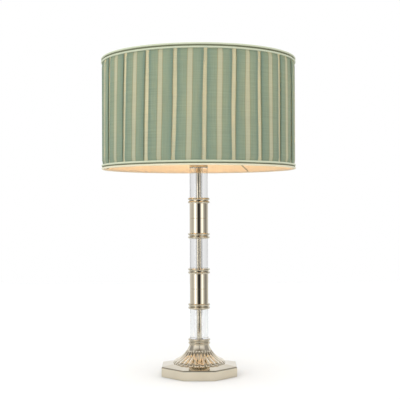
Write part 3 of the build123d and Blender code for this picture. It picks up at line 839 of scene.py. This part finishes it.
def tape_section(inner, low, high):
    """A thin band with softened corners that swells a little in its middle."""
    soft = TAPE_SOFT_CORNER
    outer = inner + TAPE_THICKNESS
    middle = (low + high) / 2
    return [
        (inner, low), (outer - soft, low), (outer, low + soft), (outer + TAPE_SWELL, middle),
        (outer, high - soft), (outer - soft, high), (inner, high),
    ]


def add_trim(node, name, cord_radius, lower_look, upper_look, tape_look):
    """Edge trim of the shade: an olive tape behind two pale cords."""
    low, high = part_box(node)
    ring_radius = high.x - cord_radius
    places = (("lower", low.z + cord_radius, lower_look), ("upper", high.z - cord_radius, upper_look))
    for place, z, cord_look in places:
        section = cord_section(ring_radius, z, cord_radius)
        ring_piece(f"{name}_{place}_cord", section, cord_look)
    tape_low, tape_high = low.z + TAPE_TUCK, high.z - TAPE_TUCK
    section = tape_section(ring_radius - TAPE_THICKNESS, tape_low, tape_high)
    tape = ring_piece(f"{name}_tape", section, tape_look)
    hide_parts(node)


def add_trims():
    """Both trims. The shade's lowest cord, next to the lit lining, is paler and warmer than the others:
    painted glow of the lamp's light through it.
    """
    tape_look = trim_tape_fabric()
    cord_look = trim_cord_fabric("trim_cord_fabric", CORD, CORD_DARK, CORD_LETS_THROUGH)
    painted_glow_cord_look = trim_cord_fabric("lit_cord_fabric", CORD_PAINTED_GLOW, CORD_PAINTED_GLOW_DARK, CORD_PAINTED_GLOW_LETS_THROUGH)
    add_trim("shade_bottom_trim", "bottom_trim", BOTTOM_CORD_RADIUS, painted_glow_cord_look, cord_look, tape_look)
    add_trim("shade_top_trim", "top_trim", TOP_CORD_RADIUS, cord_look, cord_look, tape_look)


def arc_points(start, centre, sweep, count):
    """Points after start on a circle about centre, turned through sweep."""
    arm = start - centre
    points = []
    for step in range(1, count + 1):
        angle = sweep * step / count
        turned = Vector((
            arm.x * math.cos(angle) - arm.y * math.sin(angle),
            arm.x * math.sin(angle) + arm.y * math.cos(angle),
        ))
        points.append(centre + turned)
    return points


def circle_centre(first, second, third):
    """Centre of the circle through three points."""
    across = second - first
    along = third - first
    twice = 2 * (across.x * along.y - across.y * along.x)
    size_across, size_along = across.length_squared, along.length_squared
    return first + Vector((
        (along.y * size_across - across.y * size_along) / twice,
        (across.x * size_along - along.x * size_across) / twice,
    ))


def turned_between(start, centre, end):
    """Signed angle from start to end as seen from centre."""
    arm, reach = start - centre, end - centre
    return math.atan2(arm.x * reach.y - arm.y * reach.x, arm.dot(reach))


def bell_profile():
    """Radius and height from the neck down to the foot: a hollow flare, then a rounded edge."""
    centre = circle_centre(BELL_NECK, BELL_WAIST, BELL_HIP)
    sweep = turned_between(BELL_NECK, centre, BELL_HIP)
    flare = [BELL_NECK] + arc_points(BELL_NECK, centre, sweep, FLARE_POINTS)
    foot = Vector((BELL_FOOT_RADIUS, bell_low.z))
    normal = (BELL_HIP - centre).normalized()
    chord = foot - BELL_HIP
    round_centre = BELL_HIP + normal * (chord.length_squared / (2 * chord.dot(normal)))
    round_sweep = turned_between(BELL_HIP, round_centre, foot)
    return flare + arc_points(BELL_HIP, round_centre, round_sweep, ROUNDING_POINTS)


def lobe_end(z):
    """0 above the hip, 1 at the foot."""
    return smooth_step(BELL_HIP.y - z, 0, BELL_HIP.y - bell_low.z)


def lobe_depth(z):
    """How deep the grooves between lobes are at a height."""
    begun = smooth_step(LOBE_START_Z - z, 0, LOBE_START_LENGTH)
    grown = smooth_step(LOBE_START_Z - z, 0, LOBE_START_Z - BELL_HIP.y)
    return begun * blend(blend(LOBE_START_DEPTH, LOBE_DEPTH, grown), LOBE_END_DEPTH, lobe_end(z))


def add_bell():
    """The gadrooned foot: rounded lobes that start below a smooth neck and end in a scalloped edge."""
    inside = [
        Vector((BELL_FOOT_RADIUS - BELL_RIM, bell_low.z)),
        Vector((BELL_BORE_RADIUS, bell_low.z + BELL_HOLLOW_HEIGHT)),
        Vector((BELL_BORE_RADIUS, bell_high.z)),
        Vector((BELL_SPIGOT_RADIUS, bell_high.z)),
        Vector((BELL_SPIGOT_RADIUS, BELL_NECK.y)),
    ]
    outside = bell_profile()
    columns = LOBES * LOBE_COLUMNS
    points = []
    for place, (radius, z) in enumerate(outside + inside):
        depth = lobe_depth(z) if place < len(outside) else 0.0
        power = blend(1.0, LOBE_END_POWER, lobe_end(z))
        for column in range(columns):
            across = column % LOBE_COLUMNS / LOBE_COLUMNS
            groove = depth * (1 - math.sin(math.pi * across) ** power)
            azimuth = FIRST_GROOVE + TURN * column / columns
            points.append(polar(radius - groove, azimuth, z))
    faces = [face[::-1] for face in grid_faces(len(outside) + len(inside), columns, rows_close=True)]
    piece = add_piece(
        "gadrooned_bell", points, faces, cad_looks["polished_nickel"],
        body="stand", replaced=["base_bell"],
    )
    piece.data.set_sharp_from_angle(angle=BELL_CREASE_ANGLE)


def add_felt():
    """The felt under the base: an octagon with softened edges."""
    half = felt_high.x
    half_side_angle = TURN / FELT_SIDES / 2
    corner = half / math.cos(half_side_angle)
    outline = []
    for side in range(FELT_SIDES):
        middle = FRONT + TURN * side / FELT_SIDES
        first = Vector(polar(corner, middle - half_side_angle, 0))
        second = Vector(polar(corner, middle + half_side_angle, 0))
        for step in range(FELT_SIDE_POINTS):
            outline.append(first.lerp(second, step / FELT_SIDE_POINTS))
    inset = 1 - FELT_ROUND / half
    flat_rings = (FELT_INMOST_RING, FELT_MIDDLE_RING, inset)
    rings = [(size, felt_low.z) for size in flat_rings]
    rings += [(1, felt_low.z + FELT_ROUND), (1, felt_high.z - FELT_ROUND)]
    rings += [(size, felt_high.z) for size in reversed(flat_rings)]
    points = [(point.x * size, point.y * size, z) for size, z in rings for point in outline]
    faces = grid_faces(len(rings), len(outline), rows_close=True)
    piece = add_piece(
        "felt_sheet", points, faces, cad_looks["felt"],
        body="stand", replaced=["felt_pad"],
    )


def add_camera():
    """A level camera, shifted so that its horizon lies on the photograph's row."""
    data = bpy.data.cameras.new("camera")
    data.sensor_width = SENSOR_WIDTH
    data.lens = FOCAL_PIXELS * SENSOR_WIDTH / IMAGE_SIZE
    data.shift_y = (HORIZON_ROW - IMAGE_SIZE / 2) / IMAGE_SIZE
    camera = bpy.data.objects.new("camera", data)
    camera.location = (CAMERA_ASIDE, -CAMERA_DISTANCE, CAMERA_HEIGHT)
    camera.rotation_euler = (math.radians(90), CAMERA_ROLL, 0)
    bpy.context.scene.collection.objects.link(camera)
    bpy.context.scene.camera = camera


def add_floor():
    """A pale table top that reaches far behind the lamp and ends in front of it, out of the picture."""
    look = Look("pale_floor")
    place = look.place()
    cloud = look.spread(look.noise(place, scale=6, detail=3), 0, 1, 0, FLOOR_CLOUD_SHARE)
    distance = look.node("ShaderNodeVectorMath", "Value", {0: place}, operation="LENGTH")
    # darker near the lamp: painted shade against the lamp's light on the table
    far = look.spread(distance, *FLOOR_FADE, 0, FLOOR_FADE_SHARE)
    look.set(
        base_color=look.mix(look.math("ADD", far, cloud), FLOOR_NEAR, FLOOR_FAR),
        roughness=0.9,
        specular_ior_level=0.1,
    )
    front = [(-FLOOR_SIDE, FLOOR_FRONT, 0), (FLOOR_SIDE, FLOOR_FRONT, 0)]
    back = [(FLOOR_SIDE, FLOOR_BACK, 0), (-FLOOR_SIDE, FLOOR_BACK, 0)]
    mesh = bpy.data.meshes.new("floor")
    mesh.from_pydata(front + back, [], [(0, 1, 2, 3)])
    mesh.materials.append(look.material)
    floor = bpy.data.objects.new("floor", mesh)
    bpy.context.scene.collection.objects.link(floor)


def add_softbox(name, azimuth, distance, height, size, power, colour, aim_height):
    """A square light, azimuth degrees to the right of the camera's side of the lamp."""
    data = bpy.data.lights.new(name, "AREA")
    data.shape = "SQUARE"
    data.size = size
    data.energy = power
    data.color = colour
    light = bpy.data.objects.new(name, data)
    light.location = polar(distance, FRONT + math.radians(azimuth), height)
    aim = Vector((0, 0, aim_height)) - light.location
    light.rotation_euler = aim.to_track_quat("-Z", "Y").to_euler()
    light.visible_camera = False
    bpy.context.scene.collection.objects.link(light)
    return light


def add_lights():
    """A softbox at each side of the camera and one overhead, which the metal doesn't mirror."""
    low = {"distance": 1.9, "height": 0.15, "size": 0.6, "aim_height": 0.15}
    add_softbox("softbox_left", azimuth=-45, power=1.9, colour=(1.0, 1.0, 0.98), **low)
    add_softbox("softbox_right", azimuth=42, power=1.05, colour=(1.0, 0.97, 0.92), **low)
    overhead = {"distance": 0.3, "height": 2.2, "size": 1.6, "aim_height": 0.0}
    top = add_softbox("softbox_top", azimuth=0, power=16, colour=(1.0, 1.0, 1.0), **overhead)
    top.visible_glossy = False


# Studio walls that the metal mirrors, as degrees to the right of the camera's side and brightness:
# white behind the lamp, bright panels at both sides of the camera and a dim right side
WALLS = (
    (-180, 1.0), (-110, 0.8), (-80, 0.65), (-58, 1.1), (0, 1.0), (31, 1.1), (58, 0.9), (75, 0.4), (95, 0.3),
    (135, 0.85), (180, 1.0),
)
# Dark gap between the panels on the camera's side of the room, narrower and then less dark higher up
GAP_MIDDLE = math.radians(1)
GAP_DARK = math.radians(10.5)
GAP_EDGE = math.radians(29)
GAP_TOP = 0.35
GAP_TOP_SHARE = 0.22
GAP_LEVEL = 0.03
GAP_TOP_LEVEL = 0.32
GAP_FADE_TOP = 0.6
# The rest of what the metal mirrors: a ceiling that is dark on the camera's side, walls that are dim
# high up beside the lamp and bright behind it, and the dark below the table's front edge
CEILING_BACK = (0.80, 0.76, 0.70, 1)
CEILING_FRONT = (0.21, 0.18, 0.14, 1)
HIGH_BACK = (1.5, 1.55, 1.65, 1)
HIGH_SIDES = (0.42, 0.42, 0.42, 1)
BELOW_TABLE = (0.20, 0.18, 0.15, 1)
# Where each of these begins and is full, on a direction of length 1: up, to a side and to the room's front
CEILING_UP = (0.54, 0.82)
CEILING_TO_FRONT = (0.05, 0.3)
HIGH_UP = (0.15, 0.35)
HIGH_ASIDE = (0.2, 0.5)
HIGH_TO_FRONT = (0.35, 0.05)
HIGH_BACK_TO_FRONT = (-0.4, -0.65)
BELOW_UP = (-0.15, -0.35)
BELOW_TO_FRONT = (0.1, 0.5)
# Soft light on the cloth and the table, a little cool from the left and dimmer from the right
FILL_LEFT = (1.03, 1.085, 1.095, 1)
FILL_RIGHT = (0.81, 0.80, 0.81, 1)
ROOM_FILL = 1.21


def wall_ring(room, angle):
    """The walls' brightness round the lamp."""
    share = room.spread(angle, -math.pi, math.pi, 0, 1)
    walls = room.node("ShaderNodeValToRGB", "Color", {"Fac": share})
    stops = walls.node.color_ramp.elements
    while len(stops) < len(WALLS):
        stops.new(0.5)
    for stop, (degrees, level) in zip(stops, WALLS):
        stop.position = (degrees + 180) / 360
        stop.color = (level, level, level, 1)
    return walls


def front_gap(room, angle, up):
    """The share of the walls' brightness that the dark gap leaves."""
    narrowing = room.spread(up, 0, GAP_TOP, 1, GAP_TOP_SHARE)
    aside = room.math("ABSOLUTE", room.math("SUBTRACT", angle, GAP_MIDDLE))
    from_gap = room.math("DIVIDE", aside, narrowing)
    level = room.spread(up, GAP_TOP, GAP_FADE_TOP, GAP_LEVEL, GAP_TOP_LEVEL)
    return room.spread(from_gap, GAP_DARK, GAP_EDGE, level, 1)


def mirrored_room(room, direction):
    """The colour that metal and glass mirror from a direction."""
    right = room.axis(direction, "X")
    up = room.axis(direction, "Z")
    to_front = room.math("MULTIPLY", room.axis(direction, "Y"), -1)
    angle = room.math("ARCTAN2", right, to_front)
    walls = room.mix(front_gap(room, angle, up), (0, 0, 0, 1), wall_ring(room, angle))
    below = room.math("MULTIPLY", room.ease(up, BELOW_UP), room.ease(to_front, BELOW_TO_FRONT))
    walls = room.mix(below, walls, BELOW_TABLE)
    aside = room.ease(room.math("ABSOLUTE", right), HIGH_ASIDE)
    high = room.math("MULTIPLY", room.ease(up, HIGH_UP), aside)
    high = room.math("MULTIPLY", high, room.ease(to_front, HIGH_TO_FRONT))
    high_walls = room.mix(room.ease(to_front, HIGH_BACK_TO_FRONT), HIGH_SIDES, HIGH_BACK)
    walls = room.mix(high, walls, high_walls)
    ceiling = room.mix(room.ease(to_front, CEILING_TO_FRONT), CEILING_BACK, CEILING_FRONT)
    return room.mix(room.ease(up, CEILING_UP), walls, ceiling)


def add_room():
    """White to the eye, a soft fill on cloth and table, and a studio in what metal and glass mirror."""
    world = bpy.data.worlds.new("room")
    bpy.context.scene.world = world
    world.use_nodes = True
    world.node_tree.nodes.clear()
    room = Nodes(world.node_tree)
    direction = room.node("ShaderNodeTexCoord", "Generated", {})
    mirrored = room.node("ShaderNodeBackground", "Background", {"Color": mirrored_room(room, direction)})
    seen = room.node("ShaderNodeBackground", "Background", {"Color": (1, 1, 1, 1)})
    tint = room.mix(room.spread(room.axis(direction, "X"), -1, 1, 0, 1), FILL_LEFT, FILL_RIGHT)
    fill = room.node("ShaderNodeBackground", "Background", {"Color": tint, "Strength": ROOM_FILL})
    rays = room.tree.nodes.new("ShaderNodeLightPath").outputs
    light = room.either(rays["Is Diffuse Ray"], mirrored, fill)
    output = room.tree.nodes.new("ShaderNodeOutputWorld")
    room.feed(output.inputs["Surface"], room.either(rays["Is Camera Ray"], light, seen))


bpy.context.scene.view_settings.view_transform = "Standard"
add_camera()
add_room()
add_lights()
add_floor()
dress_cad_nodes()
add_pleated_cover()
add_lining()
add_trims()
add_bell()
add_felt()
